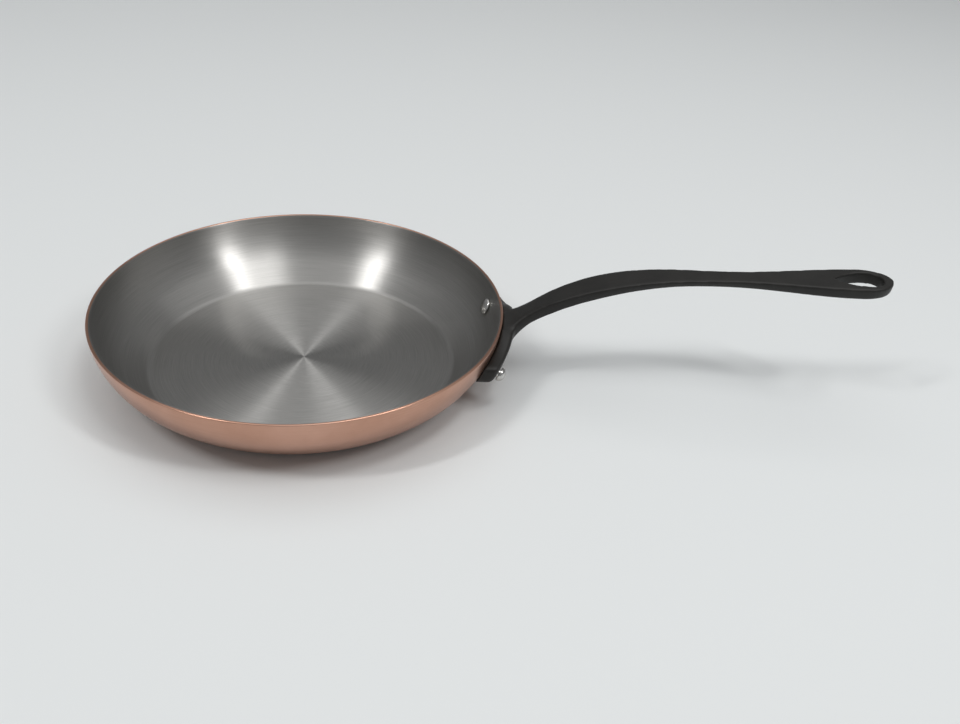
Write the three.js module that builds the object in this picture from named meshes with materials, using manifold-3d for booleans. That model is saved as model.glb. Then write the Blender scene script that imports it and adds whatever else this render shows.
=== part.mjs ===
// Copper frying pan with a bonded stainless lining and a riveted cast-iron handle.
// Millimetres, +Z up. The origin is the centre of the underside, on the hob, and the handle points along +X.
import * as THREE from "three";
import { mergeVertices } from "three/addons/utils/BufferGeometryUtils.js";
import Module from "manifold-3d";

const wasm = await Module();
wasm.setup();

// Bowl: the outer face of the copper
const RIM_RADIUS = 130;
const PAN_HEIGHT = 44.4;
const WALL_RADIUS = 47.3; // the side wall is one arc, seen in section
const RIM_SLOPE = THREE.MathUtils.degToRad(86); // steepness of the wall at the rim
const FOOT_SLOPE = THREE.MathUtils.degToRad(40); // steepness of the straight flank below the arc
const CORNER_RADIUS = 9; // outside radius between the flank and the flat base

// Sheet: copper outside, a thin stainless lining bonded inside
const COPPER_THICKNESS = 1.65;
const LINING_THICKNESS = 0.3;
const BOND_GAP = 0.05;

// Handle, seen from the side: a curved neck up to the bend, then a straight grip to the tip
const HANDLE_REACH = 370; // from the pan's axis to the tip
const BEND_OUT = 115; // from the rim to the end of the curved neck
const BEND_RISE = 39.2; // the top of the handle there, above the rim
const NECK_START_DROP = 3; // where the neck's top line leaves the flange, below the rim
const NECK_LEAD = new THREE.Vector2(25, 23); // direction and weight of the neck at the flange
const GRIP_LEAD = 55; // weight of the grip's direction in the neck's curve
const GRIP_SLOPE = 0.055; // rise of the grip per unit of length

// Handle, seen from above: half widths of the top face at distances from the rim
const ROOT_HALF_WIDTH = 13;
const NECK_HALF_WIDTH = 8.6;
const NECK_OUT = 17;
const SHOULDER_HALF_WIDTH = 11;
const SHOULDER_OUT = 60;
const WAIST_HALF_WIDTH = 7.3;
const WAIST_OUT = 141;
const EYE_HALF_WIDTH = 14;
const EYE_BACK = 19; // from the tip back to the widest place, where the round end starts

// Handle: depth of the bar below its top face
const ROOT_DEPTH = 10.5;
const NECK_DEPTH = 8.4;
const GRIP_DEPTH = 5.2;
const EYE_DEPTH = 8.2;
const TOP_EDGE_RADIUS = 1.3;
const BOTTOM_EDGE_RADIUS = 2.2;
const SIDE_DRAFT = 0.9; // how far each side leans in from the top edge to the bottom edge

// Hanging eye: a teardrop, pointed towards the pan
const EYE_LENGTH = 30;
const EYE_HOLE_HALF_WIDTH = 8.8;
const EYE_END_WALL = 6.2; // metal left between the hole and the tip

// Flange: a plate with two wings that follows the wall
const FLANGE_GAP = 0.3; // between the flange and the copper
const FLANGE_THICKNESS = 8.4;
const FLANGE_HALF_SPAN = 48;
const CROWN_DROP = 0.8; // top of the flange behind the neck, below the rim
const CROWN_HALF_WIDTH = 22;
const WING_TOP_DROP = 5.5; // top of each wing at its end, below the rim
const WING_BOTTOM_DROP = 23;
const WING_TOP_RADIUS = 4;
const WING_BOTTOM_RADIUS = 9;

// Rivets: one through each wing
const RIVET_SPREAD = THREE.MathUtils.degToRad(16.5); // to each side of the handle, round the pan's axis
const RIVET_DROP = 15.4; // rivet centre on the copper's outer face, below the rim
const SHANK_RADIUS = 3;
const SHANK_CLEARANCE = 0.12;
const INNER_HEAD_RADIUS = 5.6;
const INNER_HEAD_HEIGHT = 2.6;
const OUTER_HEAD_RADIUS = 4.6;
const OUTER_HEAD_HEIGHT = 4.2;
const HEAD_SKIRT = 0.5; // straight edge of a head before it domes
const HEAD_SEAT = 0.5; // room under a flat head on the curved wall

// Facets
const ROUND_STEPS = 72;
const WALL_STEPS = 7;
const CORNER_STEPS = 3;
const BAR_STEPS = 36;
const TIP_STEPS = 7;
const EDGE_STEPS = 2;
const RIVET_STEPS = 20;
const DOME_STEPS = 5;

const COPPER = new THREE.MeshStandardMaterial({ color: 0xb4674c, roughness: 0.32, metalness: 1 });
const STEEL = new THREE.MeshStandardMaterial({ color: 0x9b9a94, roughness: 0.3, metalness: 1 });
const IRON = new THREE.MeshStandardMaterial({ color: 0x262422, roughness: 0.55, metalness: 0.6 });
const RIVET_STEEL = new THREE.MeshStandardMaterial({ color: 0xb9b8b2, roughness: 0.22, metalness: 1 });

// A closed three.js geometry as a manifold solid
function solid(geometry) {
  const bare = new THREE.BufferGeometry().setAttribute("position", geometry.getAttribute("position").clone());
  if (geometry.index) bare.setIndex(geometry.index.clone());
  const merged = mergeVertices(bare, 1e-4);
  return new wasm.Manifold(
    new wasm.Mesh({
      numProp: 3,
      vertProperties: new Float32Array(merged.attributes.position.array),
      triVerts: new Uint32Array(merged.index.array),
    }),
  );
}

// A manifold solid as a three.js geometry
function geometryOf(made) {
  const { vertProperties, triVerts } = made.getMesh();
  const geometry = new THREE.BufferGeometry();
  geometry.setAttribute("position", new THREE.BufferAttribute(new Float32Array(vertProperties), 3));
  geometry.setIndex(new THREE.BufferAttribute(new Uint32Array(triVerts), 1));
  geometry.computeVertexNormals();
  return geometry;
}

// A profile of (radius, height) points, turned about Z
function turned(points, steps = ROUND_STEPS) {
  return new THREE.LatheGeometry(points, steps).rotateX(Math.PI / 2);
}

// Wall in section: a point where the outer face has the given steepness, moved in by the given depth
const WALL_CENTRE = new THREE.Vector2(
  RIM_RADIUS - WALL_RADIUS * Math.sin(RIM_SLOPE),
  PAN_HEIGHT + WALL_RADIUS * Math.cos(RIM_SLOPE),
);
function onWall(slope, depth) {
  const radius = WALL_RADIUS - depth;
  return new THREE.Vector2(
    WALL_CENTRE.x + radius * Math.sin(slope),
    WALL_CENTRE.y - radius * Math.cos(slope),
  );
}

// The flank meets the base plane here, and the corner's arc is centred above that place
const FOOT = onWall(FOOT_SLOPE, 0);
const BASE_CORNER = FOOT.x - FOOT.y / Math.tan(FOOT_SLOPE);
const CORNER_CENTRE = new THREE.Vector2(
  BASE_CORNER - CORNER_RADIUS * Math.tan(FOOT_SLOPE / 2),
  CORNER_RADIUS,
);

// Half of the bowl's section from the edge of the flat base to the rim, moved in by the given depth
function bowlLine(depth) {
  const line = [];
  for (let i = 0; i <= CORNER_STEPS; i++) {
    const slope = (FOOT_SLOPE * i) / CORNER_STEPS;
    const radius = CORNER_RADIUS - depth;
    line.push(
      new THREE.Vector2(
        CORNER_CENTRE.x + radius * Math.sin(slope),
        CORNER_CENTRE.y - radius * Math.cos(slope),
      ),
    );
  }
  for (let i = 0; i <= WALL_STEPS; i++) {
    line.push(onWall(FOOT_SLOPE + ((RIM_SLOPE - FOOT_SLOPE) * i) / WALL_STEPS, depth));
  }
  return line;
}

// A bowl-shaped sheet between two depths, measured in from the copper's outer face
function bowl(outerDepth, innerDepth) {
  return turned([
    new THREE.Vector2(0, outerDepth),
    ...bowlLine(outerDepth),
    ...bowlLine(innerDepth).reverse(),
    new THREE.Vector2(0, innerDepth),
  ]);
}

const SHEET_THICKNESS = COPPER_THICKNESS + BOND_GAP + LINING_THICKNESS;

// Rivets stand square to the wall
const RIVET_SLOPE = Math.acos((WALL_CENTRE.y - (PAN_HEIGHT - RIVET_DROP)) / WALL_RADIUS);
const RIVET_SEAT = onWall(RIVET_SLOPE, 0);
function placeRivet(object, side) {
  const round = new THREE.Group();
  object.position.set(RIVET_SEAT.x, 0, RIVET_SEAT.y);
  // the rivet's own +Z points down and out of the wall
  object.rotation.y = Math.PI - RIVET_SLOPE;
  round.rotation.z = side * RIVET_SPREAD;
  round.add(object);
  return round;
}

// A rivet along its own Z, from the head inside the pan to the head outside the flange
const OUTER_SEAT = FLANGE_GAP + FLANGE_THICKNESS + HEAD_SEAT;
const INNER_SEAT = -SHEET_THICKNESS - HEAD_SEAT;
function rivetGeometry() {
  const dome = (radius, height, seat, way) => {
    const points = [];
    for (let i = 0; i <= DOME_STEPS; i++) {
      const turn = (Math.PI / 2) * (i / DOME_STEPS);
      const rise = HEAD_SKIRT + (height - HEAD_SKIRT) * Math.sin(turn);
      points.push(new THREE.Vector2(i === DOME_STEPS ? 0 : radius * Math.cos(turn), seat + way * rise));
    }
    return [new THREE.Vector2(radius, seat), ...points];
  };
  return turned(
    [
      ...dome(INNER_HEAD_RADIUS, INNER_HEAD_HEIGHT, INNER_SEAT, -1).reverse(),
      new THREE.Vector2(SHANK_RADIUS, INNER_SEAT),
      new THREE.Vector2(SHANK_RADIUS, OUTER_SEAT),
      ...dome(OUTER_HEAD_RADIUS, OUTER_HEAD_HEIGHT, OUTER_SEAT, 1),
    ],
    RIVET_STEPS,
  );
}

// A drill as long as the whole stack, for one rivet hole
function rivetDrill(side) {
  const radius = SHANK_RADIUS + SHANK_CLEARANCE;
  const drill = new THREE.Mesh(
    turned(
      [
        new THREE.Vector2(0, INNER_SEAT - INNER_HEAD_HEIGHT),
        new THREE.Vector2(radius, INNER_SEAT - INNER_HEAD_HEIGHT),
        new THREE.Vector2(radius, OUTER_SEAT + OUTER_HEAD_HEIGHT),
        new THREE.Vector2(0, OUTER_SEAT + OUTER_HEAD_HEIGHT),
      ],
      RIVET_STEPS,
    ),
  );
  const round = placeRivet(drill, side);
  round.updateMatrixWorld(true);
  return solid(drill.geometry.applyMatrix4(drill.matrixWorld));
}

function drilled(made) {
  return [-1, 1].reduce((left, side) => left.subtract(rivetDrill(side)), made);
}

// Handle's top line in the XZ plane: a Bezier neck, then the straight grip
const NECK_END = new THREE.Vector2(RIM_RADIUS + BEND_OUT, PAN_HEIGHT + BEND_RISE);
const NECK_START = new THREE.Vector2(
  RIM_RADIUS + FLANGE_GAP + FLANGE_THICKNESS / 4,
  PAN_HEIGHT - NECK_START_DROP,
);
const NECK = new THREE.CubicBezierCurve(
  NECK_START,
  NECK_START.clone().add(NECK_LEAD),
  new THREE.Vector2(NECK_END.x - GRIP_LEAD, NECK_END.y - GRIP_LEAD * GRIP_SLOPE),
  NECK_END,
);
const TIP = new THREE.Vector2(HANDLE_REACH, NECK_END.y + (HANDLE_REACH - NECK_END.x) * GRIP_SLOPE);
const TOP_LINE = new THREE.CurvePath();
TOP_LINE.add(NECK);
TOP_LINE.add(new THREE.LineCurve(NECK_END, TIP));

// Smooth curve through (distance along X, size) pairs
function sizeAlong(pairs, x) {
  const at = pairs.findIndex(([place]) => place >= x);
  if (at <= 0) return at === 0 ? pairs[0][1] : pairs[pairs.length - 1][1];
  const [x0, y0] = pairs[at - 1];
  const [x1, y1] = pairs[at];
  return y0 + (y1 - y0) * THREE.MathUtils.smoothstep(x, x0, x1);
}

const EYE_START = HANDLE_REACH - EYE_BACK;
const HALF_WIDTHS = [
  [NECK_START.x, ROOT_HALF_WIDTH],
  [RIM_RADIUS + NECK_OUT, NECK_HALF_WIDTH],
  [RIM_RADIUS + SHOULDER_OUT, SHOULDER_HALF_WIDTH],
  [RIM_RADIUS + WAIST_OUT, WAIST_HALF_WIDTH],
  [EYE_START, EYE_HALF_WIDTH],
];
const DEPTHS = [
  [NECK_START.x, ROOT_DEPTH],
  [RIM_RADIUS + NECK_OUT, NECK_DEPTH],
  [NECK_END.x, GRIP_DEPTH],
  [EYE_START, EYE_DEPTH],
];

function halfWidthAt(x) {
  if (x <= EYE_START) return sizeAlong(HALF_WIDTHS, x);
  const along = Math.min(1, (x - EYE_START) / EYE_BACK);
  return EYE_HALF_WIDTH * Math.sqrt(1 - along * along);
}

// One section of the bar: a flat-topped bar with rounded edges, as (across, up) points
function barSection(halfWidth, depth) {
  const top = Math.min(TOP_EDGE_RADIUS, halfWidth / 2);
  const bottom = Math.min(BOTTOM_EDGE_RADIUS, halfWidth / 2);
  const draft = Math.min(SIDE_DRAFT, halfWidth / 4);
  const corners = [
    [halfWidth - top, -top, top, 0],
    [-halfWidth + top, -top, top, 1],
    [-halfWidth + draft + bottom, -depth + bottom, bottom, 2],
    [halfWidth - draft - bottom, -depth + bottom, bottom, 3],
  ];
  return corners.flatMap(([across, up, radius, quarter]) =>
    Array.from({ length: EDGE_STEPS + 1 }, (_, i) => {
      const turn = (Math.PI / 2) * (quarter + i / EDGE_STEPS);
      return new THREE.Vector2(across + radius * Math.cos(turn), up + radius * Math.sin(turn));
    }),
  );
}

// The bar is lofted through upright sections, deeper where the bar slopes
function barGeometry() {
  const length = TOP_LINE.getLength();
  const roundStart = 1 - EYE_BACK / length;
  const places = [];
  for (let i = 0; i <= BAR_STEPS; i++) places.push((roundStart * i) / BAR_STEPS);
  for (let i = 1; i <= TIP_STEPS; i++) {
    places.push(roundStart + (1 - roundStart) * Math.sin(((Math.PI / 2) * i) / (TIP_STEPS + 0.35)));
  }
  const positions = [];
  let around = 0;
  for (const place of places) {
    const point = TOP_LINE.getPointAt(place);
    const along = TOP_LINE.getTangentAt(place);
    const section = barSection(halfWidthAt(point.x), sizeAlong(DEPTHS, point.x) / along.x);
    around = section.length;
    for (const { x: across, y: up } of section) positions.push(point.x, across, point.y + up);
  }
  const index = [];
  for (let ring = 0; ring + 1 < places.length; ring++) {
    for (let i = 0; i < around; i++) {
      const a = ring * around + i;
      const b = ring * around + ((i + 1) % around);
      index.push(a, b, b + around, a, b + around, a + around);
    }
  }
  const last = (places.length - 1) * around;
  for (let i = 1; i + 1 < around; i++) {
    index.push(0, i + 1, i);
    index.push(last, last + i, last + i + 1);
  }
  const geometry = new THREE.BufferGeometry();
  geometry.setAttribute("position", new THREE.Float32BufferAttribute(positions, 3));
  geometry.setIndex(index);
  return geometry;
}

// The eye's teardrop, extruded up through the bar
function eyeDrill() {
  const round = EYE_HOLE_HALF_WIDTH;
  const end = HANDLE_REACH - EYE_END_WALL;
  const centre = end - round;
  const point = end - EYE_LENGTH;
  const outline = new THREE.Shape();
  outline.moveTo(centre, -round);
  outline.absarc(centre, 0, round, -Math.PI / 2, Math.PI / 2, false);
  outline.bezierCurveTo(centre - round, round, point + round / 2, round / 2, point, 0);
  outline.bezierCurveTo(point + round / 2, -round / 2, centre - round, -round, centre, -round);
  const depth = 2 * PAN_HEIGHT;
  const drill = new THREE.ExtrudeGeometry(outline, { depth, bevelEnabled: false, curveSegments: 10 });
  return solid(drill.translate(0, 0, TIP.y - depth / 2));
}

// The flange: a plate parallel to the wall, cut to its outline as seen along the handle
function flangeSolid() {
  const plate = turned([
    ...bowlLine(-FLANGE_GAP),
    ...bowlLine(-FLANGE_GAP - FLANGE_THICKNESS).reverse(),
    bowlLine(-FLANGE_GAP)[0],
  ].reverse());
  const crown = PAN_HEIGHT - CROWN_DROP;
  const top = PAN_HEIGHT - WING_TOP_DROP;
  const bottom = PAN_HEIGHT - WING_BOTTOM_DROP;
  const end = FLANGE_HALF_SPAN;
  const low = end - WING_BOTTOM_RADIUS;
  const high = end - WING_TOP_RADIUS;
  const outline = new THREE.Shape();
  outline.moveTo(-low, bottom);
  outline.lineTo(low, bottom);
  outline.absarc(low, bottom + WING_BOTTOM_RADIUS, WING_BOTTOM_RADIUS, -Math.PI / 2, 0, false);
  outline.absarc(high, top - WING_TOP_RADIUS, WING_TOP_RADIUS, 0, Math.PI / 2, false);
  outline.bezierCurveTo(CROWN_HALF_WIDTH, top, CROWN_HALF_WIDTH, crown, 0, crown);
  outline.bezierCurveTo(-CROWN_HALF_WIDTH, crown, -CROWN_HALF_WIDTH, top, -high, top);
  outline.absarc(-high, top - WING_TOP_RADIUS, WING_TOP_RADIUS, Math.PI / 2, Math.PI, false);
  outline.absarc(-low, bottom + WING_BOTTOM_RADIUS, WING_BOTTOM_RADIUS, Math.PI, 1.5 * Math.PI, false);
  const reach = RIM_RADIUS + FLANGE_GAP + 2 * FLANGE_THICKNESS;
  const cut = new THREE.ExtrudeGeometry(outline, { depth: reach, bevelEnabled: false, curveSegments: 6 });
  // the outline's own X and Y become Y and Z, and the extrusion runs out along +X
  cut.applyMatrix4(
    new THREE.Matrix4().makeBasis(
      new THREE.Vector3(0, 1, 0),
      new THREE.Vector3(0, 0, 1),
      new THREE.Vector3(1, 0, 0),
    ),
  );
  return solid(plate).intersect(solid(cut));
}

// Room for the pan: everything inside the flange's inner face
function bowlClearance() {
  const line = bowlLine(-FLANGE_GAP);
  const above = 2 * PAN_HEIGHT;
  const rim = line[line.length - 1];
  return solid(
    turned([
      new THREE.Vector2(0, -FLANGE_GAP),
      ...line,
      new THREE.Vector2(rim.x, above),
      new THREE.Vector2(0, above),
    ]),
  );
}

function part(name, geometry, material) {
  const mesh = new THREE.Mesh(geometry, material);
  mesh.name = name;
  return mesh;
}

const pan = new THREE.Group();
pan.add(part("copper_body", geometryOf(drilled(solid(bowl(0, COPPER_THICKNESS)))), COPPER));
pan.add(
  part("steel_lining", geometryOf(drilled(solid(bowl(COPPER_THICKNESS + BOND_GAP, SHEET_THICKNESS)))), STEEL),
);
const casting = flangeSolid().add(solid(barGeometry())).subtract(bowlClearance()).subtract(eyeDrill());
pan.add(part("handle", geometryOf(drilled(casting)), IRON));
for (const [name, side] of [["front_rivet", -1], ["rear_rivet", 1]]) {
  pan.add(placeRivet(part(name, rivetGeometry(), RIVET_STEEL), side));
}

export default pan;
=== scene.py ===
# %% [markdown]
# # A copper frying pan
# The pan is a spun copper bowl with a thin stainless lining, a cast-iron handle and two set rivets.
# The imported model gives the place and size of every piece. This script keeps those places and makes
# each piece again with the fine edges and finishes that a plain solid lacks.

# %% Load the frame
import math
import bpy
from mathutils import Matrix, Vector


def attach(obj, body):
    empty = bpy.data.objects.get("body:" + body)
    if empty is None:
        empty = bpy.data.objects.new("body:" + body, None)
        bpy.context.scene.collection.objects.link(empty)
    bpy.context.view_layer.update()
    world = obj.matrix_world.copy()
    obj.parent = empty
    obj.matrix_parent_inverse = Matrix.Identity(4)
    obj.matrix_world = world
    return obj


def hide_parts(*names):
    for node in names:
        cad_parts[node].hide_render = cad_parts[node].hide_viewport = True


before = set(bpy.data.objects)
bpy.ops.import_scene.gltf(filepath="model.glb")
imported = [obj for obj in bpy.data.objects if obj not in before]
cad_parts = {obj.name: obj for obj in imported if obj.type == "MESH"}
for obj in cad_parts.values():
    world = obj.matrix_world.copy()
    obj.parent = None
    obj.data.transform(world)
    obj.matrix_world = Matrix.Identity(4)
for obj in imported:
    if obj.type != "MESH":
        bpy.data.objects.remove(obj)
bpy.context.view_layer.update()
scene = bpy.context.scene
scene.view_settings.view_transform = "Standard"
print("nodes:", sorted(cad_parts))

# %% [markdown]
# ## Measures
# All lengths are metres. The bowl's section is one arc for the wall, a straight flank and a small
# corner, and each face of the sheet is the same line moved in by its depth. Naming these values once
# lets the copper, the lining and the rivets share them.

# %% Name the bowl's measures
RIM_RADIUS = 0.130
PAN_HEIGHT = 0.0444
WALL_RADIUS = 0.0473
RIM_SLOPE = math.radians(86)
FOOT_SLOPE = math.radians(40)
CORNER_RADIUS = 0.009
COPPER_DEPTH = 0.00165
LINING_DEPTH = 0.00170
SHEET_DEPTH = 0.00200
RIVET_SPREAD = math.radians(16.5)
RIVET_DROP = 0.0154

WALL_CENTRE = (
    RIM_RADIUS - WALL_RADIUS * math.sin(RIM_SLOPE),
    PAN_HEIGHT + WALL_RADIUS * math.cos(RIM_SLOPE),
)
FOOT = (
    WALL_CENTRE[0] + WALL_RADIUS * math.sin(FOOT_SLOPE),
    WALL_CENTRE[1] - WALL_RADIUS * math.cos(FOOT_SLOPE),
)
BASE_CORNER = FOOT[0] - FOOT[1] / math.tan(FOOT_SLOPE)
CORNER_CENTRE = (BASE_CORNER - CORNER_RADIUS * math.tan(FOOT_SLOPE / 2), CORNER_RADIUS)
print("flat base radius, mm:", round(CORNER_CENTRE[0] * 1000, 2))

# %% [markdown]
# ## Camera
# The photograph looks down on the pan from the front with a fairly wide lens and a slight tilt.
# The camera is built from its direction and roll rather than aimed at a target, so the tilt is kept.

# %% Set up the camera
IMAGE_WIDTH = 960
FOCAL_PIXELS = 930
CAMERA_PLACE = Vector((0.1077, -0.5155, 0.3532))
CAMERA_YAW = math.radians(1.086)
CAMERA_PITCH = math.radians(33.852)
CAMERA_ROLL = math.radians(4.601)
UPRIGHT = Vector((0, 0, 1))

level = Vector((math.sin(CAMERA_YAW), math.cos(CAMERA_YAW), 0))
level_right = Vector((math.cos(CAMERA_YAW), -math.sin(CAMERA_YAW), 0))
ahead = math.cos(CAMERA_PITCH) * level - math.sin(CAMERA_PITCH) * UPRIGHT
over = math.sin(CAMERA_PITCH) * level + math.cos(CAMERA_PITCH) * UPRIGHT
right = math.cos(CAMERA_ROLL) * level_right + math.sin(CAMERA_ROLL) * over
up = -math.sin(CAMERA_ROLL) * level_right + math.cos(CAMERA_ROLL) * over

camera_data = bpy.data.cameras.new("camera")
camera_data.sensor_width = 36
camera_data.lens = camera_data.sensor_width * FOCAL_PIXELS / IMAGE_WIDTH
camera_data.clip_start = 0.01
camera = bpy.data.objects.new("camera", camera_data)
scene.collection.objects.link(camera)
camera_turn = Matrix((right, up, -ahead)).transposed().to_4x4()
camera.matrix_world = Matrix.Translation(CAMERA_PLACE) @ camera_turn
scene.camera = camera
print("lens, mm:", round(camera_data.lens, 2))

# %% [markdown]
# ## Starting each piece
# An operator works on whatever is selected, and the frame leaves its own nodes selected. These small
# helpers clear the selection, start edit mode on one piece, and finish a piece by hanging it on the
# pan's one body and hiding the imported node that it stands for.

# %% Helpers for operators
def clear_selection():
    if bpy.context.object and bpy.context.object.mode != "OBJECT":
        bpy.ops.object.mode_set(mode="OBJECT")
    bpy.ops.object.select_all(action="DESELECT")


def take(piece):
    clear_selection()
    bpy.context.view_layer.objects.active = piece
    piece.select_set(True)


def edit_all(piece):
    take(piece)
    bpy.ops.object.mode_set(mode="EDIT")
    bpy.ops.mesh.select_all(action="SELECT")


def apply_modifier(piece, modifier):
    take(piece)
    bpy.ops.object.modifier_apply(modifier=modifier.name)


def finish_piece(piece, node, angle=40):
    take(piece)
    bpy.ops.object.shade_smooth_by_angle(angle=math.radians(angle))
    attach(piece, "root")
    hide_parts(node)
    size = [round(length * 1000, 1) for length in piece.dimensions]
    print(piece.name, "faces:", len(piece.data.polygons), "size, mm:", size)


# %% [markdown]
# ## Turning a section
# A spun bowl is a section turned about the pan's axis. A plane merged to one point gives the start,
# extrude walks that point along the section, and spin carries the finished line once round the axis.
# This follows how such a bowl is really made on a lathe.

# %% Turn a section about the pan's axis
STARTER_SIZE = 0.01
SEAM_DISTANCE = 2e-6


def turned_piece(name, section, steps):
    clear_selection()
    bpy.ops.mesh.primitive_plane_add(size=STARTER_SIZE, location=(0, 0, 0))
    piece = bpy.context.object
    piece.name = piece.data.name = name
    edit_all(piece)
    bpy.ops.mesh.merge(type="CENTER")
    here = Vector((section[0][0], 0, section[0][1]))
    bpy.ops.transform.translate(value=here)
    for radius, height in section[1:]:
        there = Vector((radius, 0, height))
        bpy.ops.mesh.extrude_vertices_move(TRANSFORM_OT_translate={"value": there - here})
        here = there
    bpy.ops.mesh.select_all(action="SELECT")
    bpy.ops.mesh.spin(
        steps=steps, angle=2 * math.pi, center=(0, 0, 0), axis=(0, 0, 1), use_auto_merge=True,
    )
    bpy.ops.mesh.select_all(action="SELECT")
    bpy.ops.mesh.remove_doubles(threshold=SEAM_DISTANCE)
    bpy.ops.mesh.normals_make_consistent(inside=False)
    bpy.ops.object.mode_set(mode="OBJECT")
    return piece


# %% The bowl's line at a depth
WALL_STEPS = 26
CORNER_STEPS = 10


def arc_points(centre, radius, first, last, steps):
    points = []
    for i in range(steps + 1):
        slope = first + (last - first) * i / steps
        points.append((centre[0] + radius * math.sin(slope), centre[1] - radius * math.cos(slope)))
    return points


def bowl_line(depth):
    corner = arc_points(CORNER_CENTRE, CORNER_RADIUS - depth, 0, FOOT_SLOPE, CORNER_STEPS)
    wall = arc_points(WALL_CENTRE, WALL_RADIUS - depth, FOOT_SLOPE, RIM_SLOPE, WALL_STEPS)
    return corner + wall


def disc_line(height, radius, steps=6):
    return [(radius * i / steps, height) for i in range(steps)]


print("points in one face of the bowl:", len(bowl_line(0)))

# %% [markdown]
# ## Copper body
# The copper is a single sheet, open at the rim, where its cut edge is softly rounded by polishing.
# The rim is a low arc between the outer and the inner line, because that bright edge is what the eye
# follows round the whole pan.

# %% Rounded rim between two lines
RIM_ROUNDNESS = 0.55


def rim_arc(outer, inner, steps):
    (r0, z0), (r1, z1) = outer, inner
    middle = ((r0 + r1) / 2, (z0 + z1) / 2)
    half = math.hypot(r0 - r1, z0 - z1) / 2
    along = ((r0 - r1) / 2 / half, (z0 - z1) / 2 / half)
    upward = (-along[1], along[0])
    arc = []
    for i in range(1, steps):
        turn = math.pi * i / steps
        rise = RIM_ROUNDNESS * half * math.sin(turn)
        arc.append((
            middle[0] + along[0] * half * math.cos(turn) + upward[0] * rise,
            middle[1] + along[1] * half * math.cos(turn) + upward[1] * rise,
        ))
    return arc


def sheet_section(outer_depth, inner_depth, rim_steps):
    outer, inner = bowl_line(outer_depth), bowl_line(inner_depth)
    outside = disc_line(outer_depth, outer[0][0]) + outer
    inside = disc_line(inner_depth, inner[0][0]) + inner
    return outside + rim_arc(outer[-1], inner[-1], rim_steps) + inside[::-1]


# %% Spin the copper body
ROUND_STEPS = 256
COPPER_RIM_STEPS = 6
copper_section = sheet_section(0, COPPER_DEPTH, COPPER_RIM_STEPS)
copper_body = turned_piece("copper_body_fine", copper_section, ROUND_STEPS)
print("points in the copper's section:", len(copper_section))

# %% [markdown]
# ## Stainless lining
# The lining is a skin a fraction of a millimetre thick, bonded over the whole inside. It gets its own
# closed sheet, so that its thin bright edge shows beside the copper at the rim.

# %% Spin the lining
LINING_RIM_STEPS = 4
lining_section = sheet_section(LINING_DEPTH, SHEET_DEPTH, LINING_RIM_STEPS)
steel_lining = turned_piece("steel_lining_fine", lining_section, ROUND_STEPS)
print("points in the lining's section:", len(lining_section))

# %% [markdown]
# ## Rivets
# A set rivet has a broad low dome inside the pan and a rounder button outside the flange, joined by
# its shank. It stands square to the wall. One is turned on its own axis and copied, and each of the
# two is then moved to its own wing.

# %% Turn one rivet
SHANK_RADIUS = 0.003
INNER_SEAT = -0.0025
OUTER_SEAT = 0.0092
INNER_HEAD_RADIUS, INNER_HEAD_HEIGHT = 0.0056, 0.0026
OUTER_HEAD_RADIUS, OUTER_HEAD_HEIGHT = 0.0046, 0.0042
HEAD_EDGE = 0.00025
HEAD_SKIRT = 0.0005
RIVET_STEPS = 48


def dome_line(radius, height, seat, way, steps=12):
    line = [(radius - HEAD_EDGE, seat), (radius, seat + way * HEAD_EDGE)]
    for i in range(steps):
        turn = math.pi / 2 * i / steps
        rise = HEAD_SKIRT + (height - HEAD_SKIRT) * math.sin(turn)
        line.append((radius * math.cos(turn), seat + way * rise))
    return line + [(0, seat + way * height)]


rivet_section = (
    dome_line(INNER_HEAD_RADIUS, INNER_HEAD_HEIGHT, INNER_SEAT, -1)[::-1]
    + [(SHANK_RADIUS, INNER_SEAT), (SHANK_RADIUS, OUTER_SEAT)]
    + dome_line(OUTER_HEAD_RADIUS, OUTER_HEAD_HEIGHT, OUTER_SEAT, 1)
)
front_rivet = turned_piece("front_rivet_fine", rivet_section, RIVET_STEPS)
print("points in the rivet's section:", len(rivet_section))

# %% Place both rivets square to the wall
rivet_slope = math.acos((WALL_CENTRE[1] - (PAN_HEIGHT - RIVET_DROP)) / WALL_RADIUS)
rivet_place = Vector((
    WALL_CENTRE[0] + WALL_RADIUS * math.sin(rivet_slope),
    0,
    WALL_CENTRE[1] - WALL_RADIUS * math.cos(rivet_slope),
))
seated = Matrix.Translation(rivet_place) @ Matrix.Rotation(math.pi - rivet_slope, 4, "Y")
rear_rivet = front_rivet.copy()
rear_rivet.data = front_rivet.data.copy()
rear_rivet.name = rear_rivet.data.name = "rear_rivet_fine"
scene.collection.objects.link(rear_rivet)
for rivet, side in ((front_rivet, -1), (rear_rivet, 1)):
    rivet.data.transform(Matrix.Rotation(side * RIVET_SPREAD, 4, "Z") @ seated)
print("rivet slope, degrees:", round(math.degrees(rivet_slope), 1))

# %% [markdown]
# ## Handle
# The handle is one iron casting: wings that hug the wall, a rising neck and a long grip that ends in
# a hanging eye. Its solid already has the main outline, so a merged copy of that solid is remeshed
# finely and smoothed, which rounds each edge and fills each inside corner as sand casting does.

# %% Copy the handle's solid
COPY_SEAM_DISTANCE = 1e-6


def merged_copy(node, name):
    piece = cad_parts[node].copy()
    piece.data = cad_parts[node].data.copy()
    piece.name = piece.data.name = name
    piece.parent = None
    piece.matrix_world = Matrix.Identity(4)
    piece.hide_render = False
    scene.collection.objects.link(piece)
    edit_all(piece)
    bpy.ops.mesh.remove_doubles(threshold=COPY_SEAM_DISTANCE)
    bpy.ops.object.mode_set(mode="OBJECT")
    return piece


handle = merged_copy("handle", "handle_fine")
print("copied handle, faces:", len(handle.data.polygons))

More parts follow.
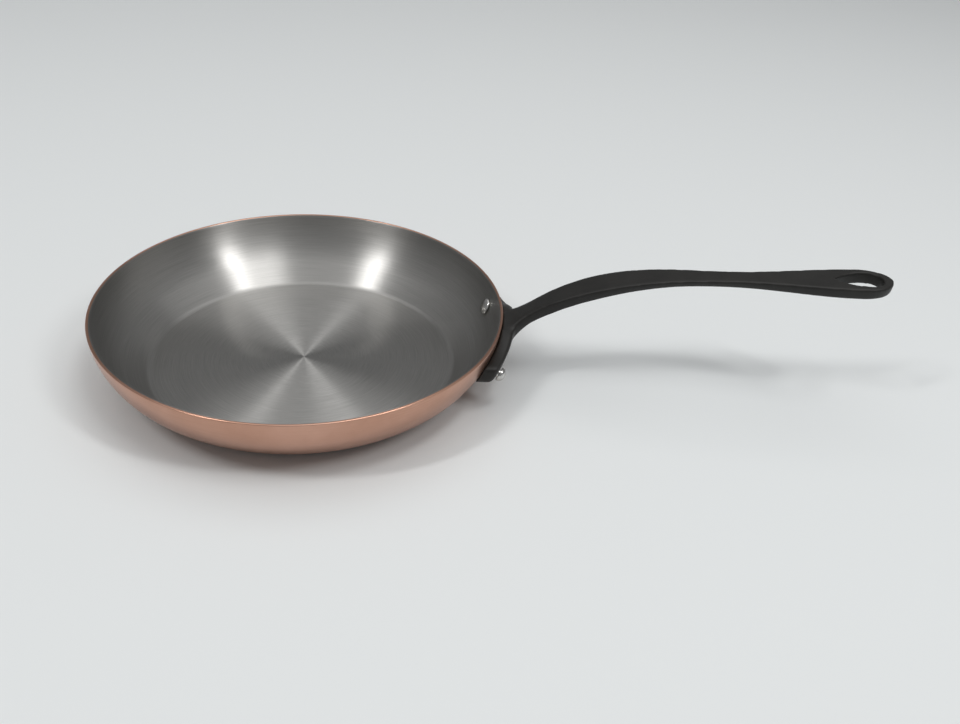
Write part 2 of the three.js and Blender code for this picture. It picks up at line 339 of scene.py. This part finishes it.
# %% [markdown]
# The set shanks fill their holes, so nothing of a hole shows. A plug in each hole, joined to the copy
# before the remesh, lets the fine skin close over it.

# %% Plug the rivet holes
PLUG_RADIUS = 0.0036
PLUG_LENGTH = 0.0076
PLUG_MIDDLE = 0.0046
PLUG_SIDES = 24

plugs = []
for side in (-1, 1):
    clear_selection()
    bpy.ops.mesh.primitive_cylinder_add(vertices=PLUG_SIDES, radius=PLUG_RADIUS, depth=PLUG_LENGTH)
    plug = bpy.context.object
    inset = Matrix.Translation((0, 0, PLUG_MIDDLE))
    plug.data.transform(Matrix.Rotation(side * RIVET_SPREAD, 4, "Z") @ seated @ inset)
    plugs.append(plug)
take(handle)
for plug in plugs:
    plug.select_set(True)
bpy.ops.object.join()
print("plugged copy, faces:", len(handle.data.polygons))

# %% Skin the casting
CAST_VOXEL = 0.00085
SAND_ROUNDS = 9
SMOOTH_FACTOR = 0.5


def soften(piece, name, rounds, group=""):
    smooth = piece.modifiers.new(name, "SMOOTH")
    smooth.factor = SMOOTH_FACTOR
    smooth.iterations = rounds
    smooth.vertex_group = group
    apply_modifier(piece, smooth)


remesh = handle.modifiers.new("cast_skin", "REMESH")
remesh.mode = "VOXEL"
remesh.voxel_size = CAST_VOXEL
remesh.use_smooth_shade = True
apply_modifier(handle, remesh)
soften(handle, "sand_rounding", SAND_ROUNDS)
print("skinned handle, faces:", len(handle.data.polygons))

# %% [markdown]
# The wings dip towards their ends, where each is a round lobe about its rivet. Lowering the points of
# the remeshed wings by a smooth amount, and moving them in with the wall as they go down, keeps the
# casting in one piece and its gap to the copper even.

# %% Dip the wings towards their ends
WING_LOW, WING_HIGH = 0.0214, 0.0389
TOP_DIP, BOTTOM_DIP = 0.0042, 0.001
DIP_START, DIP_RUN = 0.014, 0.026
ROOT_END = 0.142


def clamp(value):
    return min(1, max(0, value))


def wall_radius(height):
    drop = min(WALL_RADIUS, max(0, WALL_CENTRE[1] - height))
    return WALL_CENTRE[0] + math.sqrt(WALL_RADIUS ** 2 - drop ** 2)


for corner in handle.data.vertices:
    out = clamp((abs(corner.co.y) - DIP_START) / DIP_RUN)
    ease = out * out * (3 - 2 * out)
    high = clamp((corner.co.z - WING_LOW) / (WING_HIGH - WING_LOW))
    if corner.co.x < ROOT_END and ease > 0:
        low = corner.co.z - ease * (BOTTOM_DIP + (TOP_DIP - BOTTOM_DIP) * high)
        radius = math.hypot(corner.co.x, corner.co.y)
        pull = (radius + wall_radius(low) - wall_radius(corner.co.z)) / radius
        corner.co = (corner.co.x * pull, corner.co.y * pull, low)
print("wing tops dip, mm:", TOP_DIP * 1000)

# %% [markdown]
# A mould takes the corners off the wings and the root. The rounding fades out along the handle and
# towards the wall, so that the face beside the copper keeps its place.

# %% Round the wings and the root further
ROOT_FADE = 0.018
WALL_KEEP, WALL_FADE = 0.0008, 0.003
ROOT_ROUNDS = 70

root = handle.vertex_groups.new(name="root")
for corner in handle.data.vertices:
    off_wall = math.hypot(corner.co.x, corner.co.y) - wall_radius(corner.co.z)
    weight = clamp(1 - (corner.co.x - ROOT_END) / ROOT_FADE)
    weight *= clamp((off_wall - WALL_KEEP) / WALL_FADE)
    if weight > 0:
        root.add([corner.index], weight, "REPLACE")
soften(handle, "root_rounding", ROOT_ROUNDS, root.name)
handle.vertex_groups.clear()
print("handle faces:", len(handle.data.polygons))

# %% [markdown]
# ## Finishes
# Each metal is a principled shader with its own small pattern: the pattern follows the way the metal
# was worked. Turned and brushed metal has marks that run round the axis, so the radius from the axis
# drives a fine noise. Cast iron has an even grain from the sand mould.

# %% Helpers for node trees
def new_finish(name):
    finish = bpy.data.materials.new(name)
    finish.use_nodes = True
    tree = finish.node_tree
    shader = tree.nodes["Principled BSDF"]
    return finish, tree, shader


def add_node(tree, kind, **values):
    node = tree.nodes.new(kind)
    for key, value in values.items():
        if key in node.inputs:
            node.inputs[key].default_value = value
        else:
            setattr(node, key, value)
    return node


def ramp(tree, source, stops):
    node = add_node(tree, "ShaderNodeValToRGB")
    band = node.color_ramp
    while len(band.elements) < len(stops):
        band.elements.new(0.5)
    for element, (at, colour) in zip(band.elements, stops):
        element.position = at
        element.color = (*colour, 1)
    tree.links.new(source, node.inputs[0])
    return node


def spread(tree, source, low, high):
    node = add_node(tree, "ShaderNodeMapRange")
    node.inputs["To Min"].default_value = low
    node.inputs["To Max"].default_value = high
    tree.links.new(source, node.inputs["Value"])
    return node


# %% Noise that runs in rings
def ring_pattern(tree, rings, sectors, detail):
    """Noise that changes quickly with the radius and slowly round the axis."""
    place = add_node(tree, "ShaderNodeTexCoord")
    split = add_node(tree, "ShaderNodeSeparateXYZ")
    tree.links.new(place.outputs["Object"], split.inputs[0])
    flat = add_node(tree, "ShaderNodeCombineXYZ")
    tree.links.new(split.outputs["X"], flat.inputs["X"])
    tree.links.new(split.outputs["Y"], flat.inputs["Y"])
    radius = add_node(tree, "ShaderNodeVectorMath", operation="LENGTH")
    tree.links.new(flat.outputs[0], radius.inputs[0])
    direction = add_node(tree, "ShaderNodeVectorMath", operation="NORMALIZE")
    tree.links.new(flat.outputs[0], direction.inputs[0])
    around = add_node(tree, "ShaderNodeVectorMath", operation="SCALE", Scale=sectors)
    tree.links.new(direction.outputs[0], around.inputs[0])
    ring = add_node(tree, "ShaderNodeMath", operation="MULTIPLY_ADD")
    ring.inputs[1].default_value = rings
    tree.links.new(radius.outputs["Value"], ring.inputs[0])
    height = add_node(tree, "ShaderNodeMath", operation="MULTIPLY")
    height.inputs[1].default_value = rings
    tree.links.new(split.outputs["Z"], height.inputs[0])
    tree.links.new(height.outputs[0], ring.inputs[2])
    lift = add_node(tree, "ShaderNodeCombineXYZ")
    tree.links.new(ring.outputs[0], lift.inputs["Z"])
    where = add_node(tree, "ShaderNodeVectorMath", operation="ADD")
    tree.links.new(around.outputs[0], where.inputs[0])
    tree.links.new(lift.outputs[0], where.inputs[1])
    noise = add_node(tree, "ShaderNodeTexNoise", Scale=1.0, Detail=detail, Roughness=0.7)
    tree.links.new(where.outputs[0], noise.inputs["Vector"])
    return place, split, noise


# %% What the metals share
ROUND_THE_AXIS = 0.25


def set_gloss(tree, shader, source, low, high):
    gloss = spread(tree, source, low, high)
    tree.links.new(gloss.outputs["Result"], shader.inputs["Roughness"])


def set_bump(tree, shader, source, strength, distance):
    bump = add_node(tree, "ShaderNodeBump", Strength=strength, Distance=distance)
    tree.links.new(source, bump.inputs["Height"])
    tree.links.new(bump.outputs[0], shader.inputs["Normal"])


def brush_round(tree, shader, amount):
    shader.inputs["Anisotropic"].default_value = amount
    shader.inputs["Anisotropic Rotation"].default_value = ROUND_THE_AXIS
    tangent = add_node(tree, "ShaderNodeTangent", direction_type="RADIAL", axis="Z")
    tree.links.new(tangent.outputs[0], shader.inputs["Tangent"])


def dress(piece, finish):
    piece.data.materials.clear()
    piece.data.materials.append(finish)


# %% [markdown]
# ### Brushed stainless lining
# The inside is brushed in circles, so light spreads across the marks and draws bright and dark rays
# from the centre. An anisotropic shader does this when its tangent runs round the axis and is given a
# quarter turn.

# %% Brushed steel finish
brushed_steel, tree, shader = new_finish("brushed_steel")
rings = ring_pattern(tree, rings=2600, sectors=3.0, detail=5)[-1].outputs["Fac"]
tint = ramp(tree, rings, [(0.3, (0.36, 0.355, 0.34)), (0.7, (0.5, 0.49, 0.475))])
tree.links.new(tint.outputs["Color"], shader.inputs["Base Color"])
set_gloss(tree, shader, rings, 0.29, 0.42)
shader.inputs["Metallic"].default_value = 1
brush_round(tree, shader, 0.95)
set_bump(tree, shader, rings, strength=0.12, distance=0.0001)
dress(steel_lining, brushed_steel)
print("finish:", brushed_steel.name)

# %% [markdown]
# ### Polished copper
# The outside is polished on the lathe and lightly handled: the red-brown tone drifts a little, faint
# lines run round it, and painted shade darkens the colour low down, for the contact shadow and the
# dark floor that the lower sheet reflects.

# %% Polished copper finish
# Painted shade low on the copper: how dark the colour gets at the floor, and the height where it ends.
COPPER_SHADE_TONE = 0.6
COPPER_SHADE_HEIGHT = 0.02
RING_SHARE = 0.45

polished_copper, tree, shader = new_finish("polished_copper")
place, split, noise = ring_pattern(tree, rings=1500, sectors=2.0, detail=4)
rings = noise.outputs["Fac"]
cloud = add_node(tree, "ShaderNodeTexNoise", Scale=22.0, Detail=4.0, Roughness=0.6)
tree.links.new(place.outputs["Object"], cloud.inputs["Vector"])
mixed = add_node(tree, "ShaderNodeMath", operation="MULTIPLY_ADD")
mixed.inputs[1].default_value = RING_SHARE
tree.links.new(rings, mixed.inputs[0])
tree.links.new(cloud.outputs["Fac"], mixed.inputs[2])
tone = ramp(tree, mixed.outputs[0], [
    (0.45, (0.47, 0.26, 0.185)), (0.72, (0.55, 0.315, 0.23)), (0.98, (0.62, 0.37, 0.28)),
])
# Painted shade: the colour is scaled down towards the floor, for the contact shadow and the dark floor
# reflected low on the copper.
low_shade = spread(tree, split.outputs["Z"], COPPER_SHADE_TONE, 1)
low_shade.inputs["From Max"].default_value = COPPER_SHADE_HEIGHT
painted_shade_tone = add_node(tree, "ShaderNodeVectorMath", operation="SCALE")
tree.links.new(tone.outputs["Color"], painted_shade_tone.inputs[0])
tree.links.new(low_shade.outputs["Result"], painted_shade_tone.inputs["Scale"])
tree.links.new(painted_shade_tone.outputs[0], shader.inputs["Base Color"])
set_gloss(tree, shader, cloud.outputs["Fac"], 0.24, 0.34)
shader.inputs["Metallic"].default_value = 1
brush_round(tree, shader, 0.4)
set_bump(tree, shader, rings, strength=0.08, distance=0.0001)
dress(copper_body, polished_copper)
print("finish:", polished_copper.name)

# %% [markdown]
# ### Cast iron
# The casting is dark, with a fine sandy grain and a satin skin of seasoning. Two noises of different
# size give the grain and the slow change of gloss.

# %% Cast iron finish
cast_iron, tree, shader = new_finish("cast_iron")
place = add_node(tree, "ShaderNodeTexCoord")
grain = add_node(tree, "ShaderNodeTexNoise", Scale=950.0, Detail=4.0, Roughness=0.65)
tree.links.new(place.outputs["Object"], grain.inputs["Vector"])
skin = add_node(tree, "ShaderNodeTexNoise", Scale=60.0, Detail=5.0, Roughness=0.6)
tree.links.new(place.outputs["Object"], skin.inputs["Vector"])
tone = ramp(tree, skin.outputs["Fac"], [(0.3, (0.009, 0.0083, 0.0073)), (0.7, (0.017, 0.0158, 0.014))])
tree.links.new(tone.outputs["Color"], shader.inputs["Base Color"])
set_gloss(tree, shader, skin.outputs["Fac"], 0.42, 0.6)
shader.inputs["Specular IOR Level"].default_value = 0.35
set_bump(tree, shader, grain.outputs["Fac"], strength=0.22, distance=0.0003)
dress(handle, cast_iron)
print("finish:", cast_iron.name)

# %% [markdown]
# ### Rivet steel
# The rivet heads are struck smooth, with tiny dents left by the tool. One noise of small dents
# drives the tone, the gloss and the bump together.

# %% Rivet finish
rivet_steel, tree, shader = new_finish("rivet_steel")
place = add_node(tree, "ShaderNodeTexCoord")
dents = add_node(tree, "ShaderNodeTexNoise", Scale=420.0, Detail=3.0, Roughness=0.5)
tree.links.new(place.outputs["Object"], dents.inputs["Vector"])
tone = ramp(tree, dents.outputs["Fac"], [(0.3, (0.5, 0.49, 0.47)), (0.7, (0.66, 0.65, 0.63))])
tree.links.new(tone.outputs["Color"], shader.inputs["Base Color"])
set_gloss(tree, shader, dents.outputs["Fac"], 0.18, 0.32)
shader.inputs["Metallic"].default_value = 1
set_bump(tree, shader, dents.outputs["Fac"], strength=0.1, distance=0.0003)
for rivet in (front_rivet, rear_rivet):
    dress(rivet, rivet_steel)
print("finish:", rivet_steel.name)

# %% [markdown]
# ## Putting the pan together
# Nothing on the pan moves, so all five pieces ride on its one body. The casting is shaded smooth over
# wider angles than the rest, because its skin is made of small faces.

# %% Hang every piece on the pan
CAST_ANGLE = 60
finish_piece(copper_body, "copper_body")
finish_piece(steel_lining, "steel_lining")
finish_piece(handle, "handle", CAST_ANGLE)
finish_piece(front_rivet, "front_rivet")
finish_piece(rear_rivet, "rear_rivet")

# %% [markdown]
# ## Floor and light
# The pan stands on a plain pale floor. A broad panel serves as the sky, and a small one overhead adds
# a soft highlight. Two narrow ones in front, to the left and to the right, draw the bright patches
# and the rays on the brushed lining. The world stays dim, so that the metal keeps dark reflections
# beside the bright ones.

# %% Lay the floor
FLOOR_SIZE = 8
FLOOR_DROP = 0.0001
clear_selection()
bpy.ops.mesh.primitive_plane_add(size=FLOOR_SIZE, location=(0, 0, -FLOOR_DROP))
floor = bpy.context.object
floor.name = "floor"
pale_floor, tree, shader = new_finish("pale_floor")
shader.inputs["Base Color"].default_value = (0.78, 0.8, 0.8, 1)
shader.inputs["Roughness"].default_value = 0.75
shader.inputs["Specular IOR Level"].default_value = 0.1
floor.data.materials.append(pale_floor)
print("floor size, m:", FLOOR_SIZE)

# %% Hang the lamps
def panel(name, place, size, power):
    """A rectangular lamp that faces the pan's centre at the origin."""
    data = bpy.data.lights.new(name, "AREA")
    data.shape = "RECTANGLE"
    data.size, data.size_y = size
    data.energy = power
    lamp = bpy.data.objects.new(name, data)
    scene.collection.objects.link(lamp)
    lamp.location = place
    lamp.rotation_euler = (-Vector(place)).to_track_quat("-Z", "Y").to_euler()


panel("sky", place=(0.0, 0.3, 2.4), size=(3.0, 3.0), power=22)
panel("overhead", place=(0.65, -0.4, 2.0), size=(0.8, 0.35), power=7)
panel("lamp_left", place=(-1.05, -0.66, 1.8), size=(0.15, 0.6), power=9)
panel("lamp_right", place=(1.4, -0.66, 1.7), size=(0.2, 0.6), power=9)

# %% Dim the world
world = bpy.data.worlds.new("studio")
world.use_nodes = True
scene.world = world
background = world.node_tree.nodes["Background"]
background.inputs["Color"].default_value = (0.6, 0.61, 0.62, 1)
background.inputs["Strength"].default_value = 0.42
print("world:", world.name)
